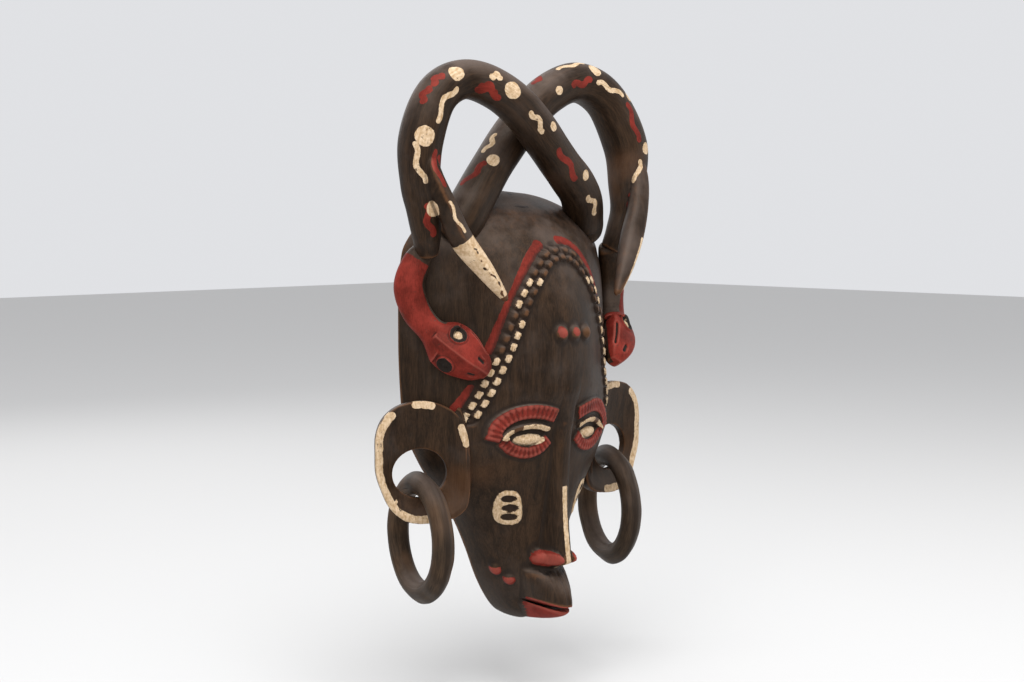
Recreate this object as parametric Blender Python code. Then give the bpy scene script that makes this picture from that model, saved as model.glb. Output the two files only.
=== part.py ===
"""Hanging wooden face mask with crossing horns, side serpents, pierced ears and loose ear rings.

Frame: metres, +Z up, X to the viewer's right, the face looks along -Y. The rim at the back of the
mask lies in the plane Y = 0 and the origin is on that rim, at the middle of its top edge.
All driving dimensions are in millimetres and are turned into metres by MM.
"""

import math

import bmesh
import bpy
from mathutils import Matrix, Vector

MM = 0.001

# ---- driving dimensions, millimetres ----
GAP = 0.3  # clearance between touching pieces
WALL_SIDE = 13.0  # wall of the shell at its sides
WALL_FRONT = 15.0  # wall of the shell at its front
WALL_TOP = 12.0  # wall of the shell at the crown
WALL_CHIN = 16.0  # wall of the shell at the chin
HEAD_HEIGHT = 357.0

# (height, value) pairs down the head; heights run from 0 at the crown to -HEAD_HEIGHT at the chin
HALF_WIDTH = [(0, 0), (-2.5, 30), (-8, 55), (-18, 80), (-32, 98), (-50, 110), (-80, 114), (-120, 114),
              (-165, 112), (-195, 106), (-220, 93), (-245, 74), (-270, 56), (-295, 43), (-320, 32),
              (-340, 20), (-352, 9), (-357, 0)]
DEPTH = [(0, 0), (-3, 10), (-8, 20), (-18, 38), (-32, 54), (-48, 66), (-75, 77), (-105, 83.5),
         (-135, 86), (-158, 84), (-178, 77), (-198, 71), (-220, 68), (-250, 64), (-280, 60),
         (-310, 55), (-334, 45), (-350, 27), (-357, 0)]
ROUNDNESS = [(0, 0.5), (-60, 0.3), (-140, 0.3), (-175, 0.6), (-200, 0.95), (-357, 1.0)]
CHIN_DROP = [(0, 0), (-250, 0), (-320, 0.16), (-357, 0.26)]
WEDGE = 0.42  # how soon the section turns from its round front to its straight sides

SHELL_ROWS = 92
SHELL_SIDE_STEPS = (0, 0.03, 0.06, 0.09, 0.12, 0.15, 0.185, 0.22, 0.255, 0.29, 0.33, 0.37, 0.415, 0.46,
                    0.51, 0.56, 0.62, 0.69, 0.77, 0.85, 0.93, 1.0)
INNER_STEPS = (0, 0.2, 0.42, 0.64, 0.83, 1.0)
HANG_HOLE_RADIUS = 2.5
HANG_HOLE_SETBACK = 8.5

# face features, as (distance from the middle plane, height)
BAND = [(0, -50), (14, -54), (27, -67), (40, -86), (48, -105), (56, -127), (66, -152), (79, -179)]
BROW = [(69, -193), (60, -182), (48, -175), (33, -173), (13, -177)]
LOWER_LID = [(60, -200), (50, -207), (38, -211), (26, -208), (17, -200)]
EYE = (35, -197)
NOSE_TOP, NOSE_BOTTOM = -166.0, -306.0
MOUTH_BUMPS = [(34, -311), (26, -319)]

# horn centre lines (x, y, z, radius); the left one crosses in front of the right one
HORN_LEFT = [(84, -19, -44, 6), (81, -20, -38, 13), (76, -22, -26, 16.5), (56, -36, -2, 17),
             (17, -49, 24, 16.5), (-28, -55, 61, 16.5), (-55, -48, 80, 16), (-79, -38, 86, 15.5),
             (-104, -35, 72, 16.5), (-118, -33, 38, 17.5), (-119, -33, 5, 15), (-117, -34, -15, 12.5),
             (-112, -32, -33, 11.5), (-106, -26, -50, 9)]
HORN_RIGHT = [(-76, -15, -44, 6), (-73, -17, -38, 13), (-68, -22, -28, 17), (-52, -22, -6, 17),
              (-26, -19, 24, 16.5), (5, -17.5, 56, 16.5), (37, -17, 81, 17), (71, -18, 92, 17),
              (101, -23, 78, 18), (118, -31, 40, 18.5), (117, -34, 6, 16), (115, -35, -16, 13.5),
              (111, -32, -34, 12), (106, -26, -50, 9)]
TUSK = [(118, -38, 34, 7), (118, -46, 12, 8), (110, -53, -12, 8.5), (98, -57, -38, 9.5),
        (81, -65, -62, 7.5), (66, -71, -83, 3.5), (64, -72, -86, 1.5)]
HORN_SIDES, HORN_STEPS = 16, 46
# serpent centre line on the left side (x, y, z, half width, half height)
SERPENT = [(-104, -23, -46, 5, 5), (-106, -22, -49, 9, 8), (-112, -19, -58, 11, 10),
           (-117, -17, -76, 12, 11), (-113, -21, -95, 11.5, 10), (-105, -30, -110, 11, 10),
           (-98, -38, -119, 19, 12), (-91, -46, -127, 20, 13), (-84, -52, -134, 16.5, 12),
           (-77, -57, -140, 11.5, 9), (-73, -60, -144, 5, 5)]

# ears: plate origin and turn of the plate away from the front, for the left and right side;
# outline points are (outward, up) from the plate origin
EAR_LEFT = (-113.0, -24.0, -214.0, -29.0)
EAR_RIGHT = (109.0, -24.0, -214.0, 5.0)
EAR_OUTLINE = [(35.5, 6), (35, -8), (31, -21), (24.5, -35), (14, -45), (2, -48.5), (-13, -48),
               (-28, -45), (-37, -38), (-40, -26), (-40, -12), (-40, 2), (-39, 17), (-36, 28),
               (-28, 39), (-17, 45.5), (-5, 48.5), (8, 48), (20, 44), (30, 35), (35, 22)]
EAR_HOLE = (-0.5, -9.0, 22.0, 19.5)  # centre outward, centre up, half width, half height
EAR_SECTION = [(0.0, 4.6), (0.16, 4.8), (0.6, 1.5), (1.0, -1.0), (1.0, -7.6), (0.5, -7.0), (0.0, -3.0)]
EAR_ROOT = [(4, 3, 2, 7, 40), (-8, -5, 2, 8, 42), (-20, -14, 0, 6, 38)]  # inward, forward, up, halves
EAR_STEPS = 40

# rings: outer and inner radius, half thickness, and the turn of each axis from straight ahead
RING_SECTION = [(34.5, -4.0), (34.5, 4.0), (38.0, 8.0), (43.5, 9.5), (48.5, 7.0), (54.0, 0.0),
                (48.5, -7.0), (43.5, -9.5), (38.0, -8.0)]
RING_INNER = 34.5
RING_TURN_LEFT, RING_TURN_RIGHT = 74.0, 70.0
BAR_FRONT = -1.5  # the ring swings about the middle of the bar under the ear's hole, this far forward,
BAR_DROP = 10.0  # this far below the hole,
RING_REACH = 12.5  # and this far below the inside of the ring's top
RING_STEPS = 56

PEG_RADIUS, PEG_LENGTH, PEG_FIT = 3.5, 14.0, 0.25
PEG_OFFSET = 2.5  # how much more of a peg is in the piece than in the shell

WOOD = (0.036, 0.022, 0.015)
WORN_WOOD = (0.075, 0.045, 0.028)
RED_PAINT = (0.26, 0.035, 0.025)


# ---- curves and tables ----
def table(rows, at):
    """Smooth value of a table of (height, value) rows, without overshoot."""
    rows = sorted(rows)
    at = min(max(at, rows[0][0]), rows[-1][0])
    steps = [b[0] - a[0] for a, b in zip(rows, rows[1:])]
    slopes = [(b[1] - a[1]) / h for a, b, h in zip(rows, rows[1:], steps)]
    tangents = [slopes[0]]
    for before, after in zip(slopes, slopes[1:]):
        tangents.append(0.0 if before * after <= 0 else 2 * before * after / (before + after))
    tangents.append(slopes[-1])
    i = next((k for k, row in enumerate(rows[1:]) if at <= row[0]), len(steps) - 1)
    t, h = (at - rows[i][0]) / steps[i], steps[i]
    return ((1 + 2 * t) * (1 - t) ** 2 * rows[i][1] + t * (1 - t) ** 2 * h * tangents[i]
            + t * t * (3 - 2 * t) * rows[i + 1][1] + t * t * (t - 1) * h * tangents[i + 1])


def smooth_path(points, count):
    """Points along a Catmull-Rom curve through rows of any length."""
    rows = [Vector(p) for p in points]
    rows = [2 * rows[0] - rows[1], *rows, 2 * rows[-1] - rows[-2]]
    made = []
    for k in range(count):
        s = k / (count - 1) * (len(points) - 1)
        i = min(int(s), len(points) - 2)
        t = s - i
        a, b, c, d = rows[i : i + 4]
        made.append(0.5 * (2 * b + (c - a) * t + (2 * a - 5 * b + 4 * c - d) * t**2
                           + (3 * b - a - 3 * c + d) * t**3))
    return made


def near_path(x, z, path):
    """Distance from (x, z) to a polyline and how far along it, from 0 to 1."""
    best, along = 1e9, 0.0
    for i, (a, b) in enumerate(zip(path, path[1:])):
        ab = (b[0] - a[0], b[1] - a[1])
        t = ((x - a[0]) * ab[0] + (z - a[1]) * ab[1]) / (ab[0] ** 2 + ab[1] ** 2)
        t = min(max(t, 0.0), 1.0)
        d = math.hypot(x - a[0] - t * ab[0], z - a[1] - t * ab[1])
        if d < best:
            best, along = d, (i + t) / (len(path) - 1)
    return best, along


def bump(distance, half_width):
    """1 on the line, falling smoothly to 0 at half_width."""
    t = min(abs(distance) / half_width, 1.0)
    return (1 - t * t) ** 2


def plateau(distance, half_width, edge):
    """1 within half_width - edge, falling smoothly to 0 at half_width."""
    t = min(max((abs(distance) - half_width + edge) / edge, 0.0), 1.0)
    return 1 - t * t * (3 - 2 * t)


BAND_LINE = [tuple(p) for p in smooth_path(BAND, 25)]
BROW_LINE = [tuple(p) for p in smooth_path(BROW, 17)]
LID_LINE = [tuple(p) for p in smooth_path(LOWER_LID, 17)]


def feature_height(x, z):
    """How far the face's carving stands out from the plain head at (x, z)."""
    x = abs(x)
    h = 0.0
    if NOSE_BOTTOM - 6 < z < NOSE_TOP + 12:
        down = (NOSE_TOP - z) / (NOSE_TOP - NOSE_BOTTOM)
        half = 9 + 7 * max(down, 0) ** 2
        rise = plateau(z, -NOSE_BOTTOM, 7) * min(max(down * 4 + 0.35, 0), 1)
        h += (8 + 13 * max(down, 0) ** 1.5) * bump(x, half) ** 0.7 * rise
    h += 9 * bump(math.hypot((x - 13) / 1.25, z + 301), 9)
    d, _ = near_path(x, z, BROW_LINE)
    h += 3.5 * plateau(d, 7.5, 3)
    d, _ = near_path(x, z, LID_LINE)
    h += 3.0 * plateau(d, 5, 2.5)
    h += 4.0 * bump(math.hypot((x - EYE[0]) / 2.1, z - EYE[1]), 8)
    d, _ = near_path(x, z, BAND_LINE)
    h += 2.4 * plateau(d, 10, 5)
    h += 2.0 * plateau(math.hypot(x / 1.9, z + 114), 9, 3)
    for bx, bz in MOUTH_BUMPS:
        h += 5.0 * bump(math.hypot(x - bx, z - bz), 8)
    upper = max(1 - (x / 27) ** 2, 0.0) ** 0.8
    h += 27 * upper * plateau(z + 330, 13, 8)
    lower = max(1 - (x / 24) ** 2, 0.0) ** 0.8
    h += 22 * lower * plateau(z + 347, 9, 6)
    return h


def head_point(side, z, carve=True, wall=(0.0, 0.0)):
    """Point on the head: side from -1 to 1 across it, z down it. wall sets the hollow's surface in."""
    w = max(table(HALF_WIDTH, z) - wall[0], 0.0)
    d = max(table(DEPTH, z) - wall[1], 0.0)
    angle = side * math.pi / 2
    r = abs(math.sin(angle))
    straight = (math.sqrt(r * r + WEDGE**2) - WEDGE) / (math.sqrt(1 + WEDGE**2) - WEDGE)
    m = table(ROUNDNESS, z)
    x = w * math.sin(angle)
    y = -d * (1 - (1 - m) * straight - m * (1 - math.cos(angle)))
    z += table(CHIN_DROP, z) * y
    if carve:
        y -= feature_height(x, z) * min(1.0, 6 * (1 - abs(side)))
    return Vector((x, y if abs(side) < 1 else 0.0, z))


def surface(x, z):
    """Point and outward normal of the plain head at (x, z)."""
    def at(px, pz):
        w = table(HALF_WIDTH, pz)
        return head_point(math.asin(max(min(px / w, 1), -1)) / (math.pi / 2), pz, carve=False)

    point = at(x, z)
    normal = (at(x + 1, z) - at(x - 1, z)).cross(at(x, z + 1) - at(x, z - 1)).normalized()
    return point, normal if normal.y < 0 else -normal


# ---- mesh building ----
def new_object(name, bm, colour, roughness=0.6):
    """An object of the mask, or a hidden cutter when it has no colour."""
    bmesh.ops.remove_doubles(bm, verts=bm.verts, dist=1e-7)
    bmesh.ops.recalc_face_normals(bm, faces=bm.faces)
    mesh = bpy.data.meshes.new(name)
    bm.to_mesh(mesh)
    bm.free()
    obj = bpy.data.objects.new(name, mesh)
    for polygon in mesh.polygons:
        polygon.use_smooth = len(polygon.vertices) < 5
    (MASK if colour else CUTTERS).objects.link(obj)
    if colour:
        material = bpy.data.materials.new(name + "_material")
        material.use_nodes = True
        shader = material.node_tree.nodes["Principled BSDF"]
        shader.inputs["Base Color"].default_value = (*colour, 1)
        shader.inputs["Roughness"].default_value = roughness
        shader.inputs["Metallic"].default_value = 0.0
        mesh.materials.append(material)
    else:
        obj.hide_render = True
        obj.display_type = "WIRE"
    return obj


def loft(bm, rings, caps=True, ring_closed=False):
    """Quads between rings of equal length; caps close the ends, ring_closed joins last to first."""
    made = [[bm.verts.new(p * MM) for p in ring] for ring in rings]
    pairs = list(zip(made, made[1:])) + ([(made[-1], made[0])] if ring_closed else [])
    for a, b in pairs:
        for i in range(len(a)):
            j = (i + 1) % len(a)
            bm.faces.new((a[i], a[j], b[j], b[i]))
    if caps:
        bm.faces.new(made[0])
        bm.faces.new(made[-1])


def tube_rings(points, sides, outward):
    """Rings along (x, y, z, radius) or (x, y, z, half width, half height) rows.

    outward gives the direction of the half height at a point."""
    centres = [Vector(p[:3]) for p in points]
    rings = []
    for i, p in enumerate(points):
        along = (centres[min(i + 1, len(points) - 1)] - centres[max(i - 1, 0)]).normalized()
        across = along.cross(outward(centres[i])).normalized()
        out = across.cross(along)
        half_w, half_h = p[3], p[-1]
        rings.append([centres[i] + across * half_w * math.cos(2 * math.pi * k / sides)
                      + out * half_h * math.sin(2 * math.pi * k / sides) for k in range(sides)])
    return rings


def use_tool(obj, tool, operation="DIFFERENCE"):
    modifier = obj.modifiers.new(tool.name, "BOOLEAN")
    modifier.object = tool
    modifier.operation = operation
    modifier.solver = "EXACT"


def mirrored(rows):
    return [(-p[0], *p[1:]) for p in rows]


def forward(_):
    return Vector((0, -1, 0))


def upward(_):
    return Vector((0, 0, 1))


# ---- pieces ----
def head_grid(bm, columns, top, bottom, place):
    """Rows of vertices down the head between two poles. Returns its left and right edges."""
    poles = [bm.verts.new(Vector((0, 0, -top)) * MM),
             bm.verts.new(Vector((0, 0, bottom - HEAD_HEIGHT)) * MM)]
    rows = []
    for k in range(1, SHELL_ROWS):
        share = k / SHELL_ROWS
        share += 0.12 * math.sin(math.pi * share) - 0.03 * math.sin(2 * math.pi * share)
        z = -top - (HEAD_HEIGHT - top - bottom) * share
        rows.append([bm.verts.new(place(side, z, share) * MM) for side in columns])
    for a, b in zip(rows, rows[1:]):
        for i in range(len(a) - 1):
            bm.faces.new((a[i], a[i + 1], b[i + 1], b[i]))
    for row, pole in ((rows[0], poles[0]), (rows[-1], poles[1])):
        for i in range(len(row) - 1):
            bm.faces.new((row[i], row[i + 1], pole))
    return [[poles[0], *(row[end] for row in rows), poles[1]] for end in (0, -1)]


def both_sides(steps):
    return [-s for s in reversed(steps[1:])] + list(steps)


def hollow_point(side, z, share):
    keep = min(1.0, 5 * share, 5 * (1 - share))
    p = head_point(side, z, carve=False, wall=(WALL_SIDE * keep, WALL_FRONT * keep))
    return Vector((p.x, p.y, z + 0.5 * (p.z - z)))


def make_shell():
    bm = bmesh.new()
    outside = head_grid(bm, both_sides(SHELL_SIDE_STEPS), 0.0, 0.0, lambda s, z, _: head_point(s, z))
    inside = head_grid(bm, both_sides(INNER_STEPS), WALL_TOP, WALL_CHIN, hollow_point)
    for outer, inner in zip(outside, inside):
        for i in range(len(outer) - 1):
            bm.faces.new((outer[i], outer[i + 1], inner[i + 1], inner[i]))
    shell = new_object("mask_shell", bm, WOOD, 0.55)
    hole = cylinder("hang_hole_cutter", Vector((0, -HANG_HOLE_SETBACK, -8)), Vector((0, 0, 1)),
                    HANG_HOLE_RADIUS, 40, tool=True)
    use_tool(shell, hole)
    return shell


def make_head_block():
    """The head as a solid, one gap larger all round: it trims whatever sits on the head."""
    bm = bmesh.new()
    edges = head_grid(bm, both_sides(SHELL_SIDE_STEPS), 0.0, 0.0, lambda s, z, _: head_point(s, z))
    bm.faces.new(edges[0] + edges[1][-2:0:-1])
    bmesh.ops.remove_doubles(bm, verts=bm.verts, dist=1e-7)
    bmesh.ops.recalc_face_normals(bm, faces=bm.faces)
    bm.normal_update()
    for v, n in [(v, v.normal.copy()) for v in bm.verts]:
        v.co += n * GAP * MM
    return new_object("head_block", bm, None)


def cylinder(name, centre, axis, radius, length, tool=False, colour=WORN_WOOD):
    bm = bmesh.new()
    turn = Vector((0, 0, 1)).rotation_difference(axis).to_matrix().to_4x4()
    bmesh.ops.create_cone(bm, cap_ends=True, segments=20, radius1=radius * MM, radius2=radius * MM,
                          depth=length * MM, matrix=Matrix.Translation(centre * MM) @ turn)
    return new_object(name, bm, None if tool else colour, 0.6)


def horn_body(name, path, colour, grow=0.0):
    bm = bmesh.new()
    rows = [(*p[:3], p[3] + grow) for p in path]
    loft(bm, tube_rings(smooth_path(rows, HORN_STEPS), HORN_SIDES, forward))
    return new_object(name, bm, colour, 0.5)


def make_horn(name, path, tusk):
    horn = horn_body(name, path, WOOD)
    bm = bmesh.new()
    loft(bm, tube_rings(smooth_path(tusk, 14), 10, forward))
    use_tool(horn, new_object(name + "_tusk", bm, None), "UNION")
    return horn


def make_serpent(name, path, horn_path):
    bm = bmesh.new()
    side = math.copysign(1, path[0][0])
    out = Vector((0.72 * side, -0.69, 0.03))
    loft(bm, tube_rings(smooth_path(path, 34), 14, lambda _: out))
    serpent = new_object(name, bm, RED_PAINT, 0.55)
    use_tool(serpent, horn_body(name + "_horn_trim", horn_path, None, 2 * GAP))
    return serpent


def ear_point(ear, outward, up, front):
    """World point of an ear's plate coordinates; outward runs away from the head."""
    side = math.copysign(1, ear[0])
    turn = math.radians(ear[3])
    across = Vector((side * math.cos(turn), side * math.sin(turn), 0))
    return Vector(ear[:3]) + across * outward + Vector((math.sin(turn), -math.cos(turn), 0)) * front \
        + Vector((0, 0, up))


def make_ear(name, ear):
    outline = smooth_path([*EAR_OUTLINE[-1:], *EAR_OUTLINE, EAR_OUTLINE[0], EAR_OUTLINE[1]],
                          (len(EAR_OUTLINE) + 2) * 3 + 1)[3:-4]
    cx, cy, hx, hy = EAR_HOLE
    loops = []
    for share, front in EAR_SECTION:
        loop = []
        for p in outline:
            a = math.atan2((p[1] - cy) / hy, (p[0] - cx) / hx)
            rim = Vector((cx + hx * math.cos(a), cy + hy * math.sin(a)))
            q = Vector(p[:2]).lerp(rim, share)
            loop.append(ear_point(ear, q.x, q.y, front))
        loops.append(loop)
    bm = bmesh.new()
    loft(bm, loops, caps=False, ring_closed=True)
    piece = new_object(name, bm, WOOD, 0.55)
    bm = bmesh.new()
    side = math.copysign(1, ear[0])
    start = ear_point(ear, -33, 0, -2)
    rows = [(start.x + side * i, start.y - b, start.z + u, w, h) for i, b, u, w, h in EAR_ROOT]
    loft(bm, tube_rings(smooth_path(rows, 7), 14, upward))
    use_tool(piece, new_object(name + "_root", bm, None), "UNION")
    return piece


def make_ring(name, ear, turn):
    """The ring's origin is on its swing axis, which runs along the middle of the ear's bar."""
    rings = []
    for k in range(RING_STEPS):
        a = 2 * math.pi * k / RING_STEPS
        rings.append([Vector((r * math.sin(a), t, r * math.cos(a) - RING_INNER + RING_REACH))
                      for r, t in RING_SECTION])
    bm = bmesh.new()
    loft(bm, rings, caps=False, ring_closed=True)
    ring = new_object(name, bm, WORN_WOOD, 0.6)
    bar_axis = EAR_HOLE[1] - EAR_HOLE[3] - BAR_DROP
    ring.location = ear_point(ear, EAR_HOLE[0], bar_axis, BAR_FRONT) * MM
    ring.rotation_euler = (0, 0, math.radians(turn))
    return ring


def seat(piece, name, x, z, axis=None):
    """Sits a piece on the head: a peg partly in each with its hole in both, then the head's shape."""
    point, normal = surface(x, z)
    axis = axis or normal
    point += axis * PEG_OFFSET
    cylinder(name, point, axis, PEG_RADIUS, PEG_LENGTH)
    hole = cylinder(name + "_hole", point, axis, PEG_RADIUS + PEG_FIT, PEG_LENGTH + 2 * PEG_FIT,
                    tool=True)
    use_tool(piece, hole)
    use_tool(SHELL, hole)
    use_tool(piece, HEAD_BLOCK)


for old in list(bpy.data.objects):
    bpy.data.objects.remove(old, do_unlink=True)
MASK = bpy.data.collections.new("carved_mask")
CUTTERS = bpy.data.collections.new("cutters")
for group in (MASK, CUTTERS):
    bpy.context.scene.collection.children.link(group)

SHELL = make_shell()
HEAD_BLOCK = make_head_block()
for side, horn_path, ear, turn, peg_x, ear_peg_x in (
    ("left", HORN_LEFT, EAR_LEFT, RING_TURN_LEFT, 76, -98),
    ("right", HORN_RIGHT, EAR_RIGHT, RING_TURN_RIGHT, -68, 102.5),
):
    sign = -1 if side == "left" else 1
    tusk = TUSK if side == "right" else mirrored(TUSK)
    serpent = SERPENT if side == "left" else mirrored(SERPENT)
    horn = make_horn("horn_" + side, horn_path, tusk)
    seat(horn, "horn_peg_" + side, peg_x, -28)
    snake = make_serpent("serpent_" + side, serpent, horn_path)
    seat(snake, "serpent_peg_" + side, sign * 88, -128)
    flap = make_ear("ear_" + side, ear)
    seat(flap, "ear_peg_" + side, ear_peg_x, -190, Vector((sign, 0, 0)))
    make_ring("ear_ring_" + side, ear, turn)
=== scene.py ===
"""Looks of a carved wooden face mask with crossing horns, side serpents, pierced ears and loose rings.

The frame's pieces keep their places: every visible piece below is a finer version of one CAD node.
Lengths are in millimetres until a mesh is made; the head is symmetric about X = 0 and faces -Y.
"""

import math

import bpy
import numpy as np
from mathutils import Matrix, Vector
from mathutils.kdtree import KDTree


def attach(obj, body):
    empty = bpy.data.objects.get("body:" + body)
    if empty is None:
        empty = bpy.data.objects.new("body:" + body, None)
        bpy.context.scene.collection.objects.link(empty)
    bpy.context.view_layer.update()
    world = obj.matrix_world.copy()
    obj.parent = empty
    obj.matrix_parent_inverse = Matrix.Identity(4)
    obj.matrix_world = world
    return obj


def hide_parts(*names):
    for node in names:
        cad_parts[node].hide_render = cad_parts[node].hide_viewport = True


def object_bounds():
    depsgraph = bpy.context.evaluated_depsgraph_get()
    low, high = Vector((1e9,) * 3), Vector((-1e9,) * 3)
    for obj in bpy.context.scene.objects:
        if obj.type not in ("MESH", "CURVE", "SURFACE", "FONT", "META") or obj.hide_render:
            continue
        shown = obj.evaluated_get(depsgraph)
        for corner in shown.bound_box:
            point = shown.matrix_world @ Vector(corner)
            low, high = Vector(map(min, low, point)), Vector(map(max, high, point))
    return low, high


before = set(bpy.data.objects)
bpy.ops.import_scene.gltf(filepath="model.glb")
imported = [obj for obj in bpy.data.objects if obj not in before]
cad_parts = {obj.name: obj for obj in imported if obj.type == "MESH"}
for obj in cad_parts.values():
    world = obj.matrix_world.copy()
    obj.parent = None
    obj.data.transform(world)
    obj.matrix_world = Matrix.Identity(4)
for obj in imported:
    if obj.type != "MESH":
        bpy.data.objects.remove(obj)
CAD_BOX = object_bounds()
MM = 0.001

# ---- the head, as (height, value) rows from the crown at 0 down to the chin ----
HEAD_HEIGHT, WALL_SIDE, WALL_FRONT, WALL_TOP, WALL_CHIN = 357.0, 13.0, 15.0, 12.0, 16.0
HALF_WIDTH = [(0, 0), (-2.5, 30), (-8, 55), (-18, 80), (-32, 98), (-50, 110), (-80, 114), (-120, 114),
              (-165, 112), (-195, 106), (-220, 93), (-245, 74), (-270, 56), (-295, 43), (-320, 32),
              (-340, 20), (-352, 9), (-357, 0)]
DEPTH = [(0, 0), (-3, 10), (-8, 20), (-18, 38), (-32, 54), (-48, 66), (-75, 77), (-105, 83.5),
         (-135, 86), (-158, 84), (-178, 77), (-198, 71), (-220, 68), (-250, 64), (-280, 60),
         (-310, 55), (-334, 45), (-350, 27), (-357, 0)]
ROUNDNESS = [(0, 0.5), (-60, 0.3), (-140, 0.3), (-175, 0.6), (-200, 0.95), (-357, 1.0)]
CHIN_DROP = [(0, 0), (-250, 0), (-320, 0.16), (-357, 0.26)]
WEDGE = 0.42
ROWS, COLUMNS, INNER_COLUMNS = 286, 300, 36
FAR_AWAY = 999

BAND = [(0, -50), (14, -54), (27, -67), (40, -86), (48, -105), (56, -127), (66, -152), (79, -179)]
SQUARE_PITCH, SQUARE_ROW, SQUARE_LONG, SQUARE_WIDE = 9.6, 3.2, 3.1, 1.95
BROW = [(65, -199), (61, -187.5), (51, -179.5), (38, -176.5), (25, -177.5), (13, -181)]
LOWER_LID = [(57.5, -199), (48, -206.5), (36.5, -210), (25, -207.5), (16, -200)]
UPPER_LID = [(56, -197), (48, -191.5), (38, -189), (28, -189), (19, -191.5)]
# rib pitch, half width, half width left at the cut ends, rise, painted and shaded half widths, and how
# fast the paint narrows at the ends
BROW_RIBS = (4.1, 6.8, 5.8, 3.4, 5.6, 6.0, 1.0)
LOWER_LID_RIBS = (3.7, 5.8, 5.0, 3.3, 4.7, 5.0, 0.7)
EYE, EYE_HALF = (34, -198.5), (14.2, 5.1)
CHEEK_MARK, CHEEK_MARK_HALF, CHEEK_SLANT = (40, -256), (11.2, 14.6), 0.23
CHEEK_SLOTS = [(7.8, 0.6, 6.8), (-0.2, -0.8, 7.2), (-7.9, 0.2, 6.6)]
NOSE_TOP, NOSE_BOTTOM = -166.0, -306.0
NOSE_WING, WING_LENGTH, WING_WIDTH = (12.6, -299.5), 7.4, 7.0
NOSE_STRIPE = (2.6, -240, -309)
SCAR_Z, SCARS = -114, [(-13.5, 3.6), (0.0, 2.8), (13.5, 0.0)]
LIP_TOP, LIP_PARTING, UPPER_LIP, LOWER_LIP = -309.0, -341.0, 34, 33
MOUTH_BUMPS = [(32, -26, -310, 6.8), (25, -35, -318, 6.6)]
RED_LINE = [(18, -44), (30.5, -56), (43, -76), (55, -101), (65, -126)]
RED_LINE_TOP = [(4, -40), (15, -42), (28, -50), (39, -64), (50, -84)]
RED_STUB = [(77, -157), (87, -172)]

# ---- horns, tusks and serpents: centre lines (x, y, z, half sizes) ----
HORN_LEFT = [(84, -19, -44, 6), (81, -20, -38, 13), (76, -22, -26, 16.5), (56, -36, -2, 17),
             (17, -49, 24, 16.5), (-28, -55, 61, 16.5), (-55, -48, 80, 16), (-79, -38, 86, 15.5),
             (-104, -35, 72, 16.5), (-118, -33, 38, 17.5), (-119, -33, 5, 15), (-117, -34, -15, 12.5),
             (-112, -32, -33, 11.5), (-106, -26, -50, 9)]
HORN_RIGHT = [(-76, -15, -44, 6), (-73, -17, -38, 13), (-68, -22, -28, 17), (-52, -22, -6, 17),
              (-26, -19, 24, 16.5), (5, -17.5, 56, 16.5), (37, -17, 81, 17), (71, -18, 92, 17),
              (101, -23, 78, 18), (118, -31, 40, 18.5), (117, -34, 6, 16), (115, -35, -16, 13.5),
              (111, -32, -34, 12), (106, -26, -50, 9)]
TUSK = [(118, -38, 34, 7), (118, -46, 12, 8), (110, -53, -12, 8.5), (98, -57, -38, 9.5),
        (81, -65, -62, 7.5), (66, -71, -83, 3.5), (64, -72, -86, 1.5)]
SERPENT = [(-104, -23, -46, 5, 5), (-106, -22, -49, 9, 8), (-112, -19, -58, 11, 10),
           (-117, -17, -76, 12, 11), (-113, -21, -95, 11.5, 10), (-105, -30, -110, 11, 10),
           (-98, -38, -119, 19, 12), (-91, -46, -127, 20, 13), (-84, -52, -134, 16.5, 12),
           (-77, -57, -140, 11.5, 9), (-73, -60, -144, 5, 5)]
SERPENT_OUT, JAW, RED_START, HEAD_START = (0.72, -0.69, 0.03), 0.53, 1.75, 5.4
# a serpent's eyes as place and angle; its nostrils and mouth as angle, places, depth, width and painted shade
SERPENT_EYES = [(6.45, 126), (6.8, 44)]
SERPENT_CUTS = [(118, (8.35, 8.7), 1.8, 2.8, 1.5), (52, (8.35, 8.7), 1.8, 2.8, 1.5),
                (176, (7.0, 7.5, 8.0, 8.6), 2.0, 2.4, 1.3)]

# painted marks on the horns: kind, place along the centre line, angle round it, then either a dot's
# radius or the other end of a wavy stroke
HORN_MARKS = {
    "left": [("ivory", 7.45, 57, 6.5), ("ivory", 8.97, 59, 8.0), ("ivory", 5.67, 91, 7.0),
             ("ivory", 4.65, 78, 4.2), ("ivory", 3.62, 83, 4.8), ("ivory", 10.95, 94, 7.2),
             ("ivory", 7.7, 90, 8.6, 80), ("ivory", 9.15, 34, 9.95, 60), ("ivory", 5.1, 104, 4.75, 112),
             ("ivory", 3.25, 114, 2.7, 105), ("ivory", 6.3, 78, 6.1, 70),
             ("red", 4.35, 105, 3.8, 112), ("red", 6.6, 122, 5.95, 125), ("red", 6.5, 112, 6.1, 116),
             ("red", 7.75, 33, 7.98, 30), ("red", 8.1, 26, 8.35, 24), ("red", 9.4, 110, 10.3, 112),
             ("red", 10.85, 62, 11.9, 68)],
    "right": [("ivory", 3.75, 131, 5.5), ("ivory", 7.22, 132, 6.5), ("ivory", 8.2, 135, 5.0),
              ("ivory", 5.97, 101, 4.0), ("ivory", 9.15, 110, 5.5), ("ivory", 10.9, 120, 3.0),
              ("ivory", 4.3, 165, 3.9, 168), ("ivory", 6.38, 158, 7.0, 154), ("ivory", 7.3, 88, 8.05, 101),
              ("ivory", 9.45, 78, 10.3, 68), ("red", 3.6, 146, 3.05, 177), ("red", 6.42, 88, 7.0, 90),
              ("red", 8.28, 98, 8.95, 82), ("red", 10.45, 52, 11.2, 71), ("red", 5.75, 172, 5.95, 178)],
}

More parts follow.
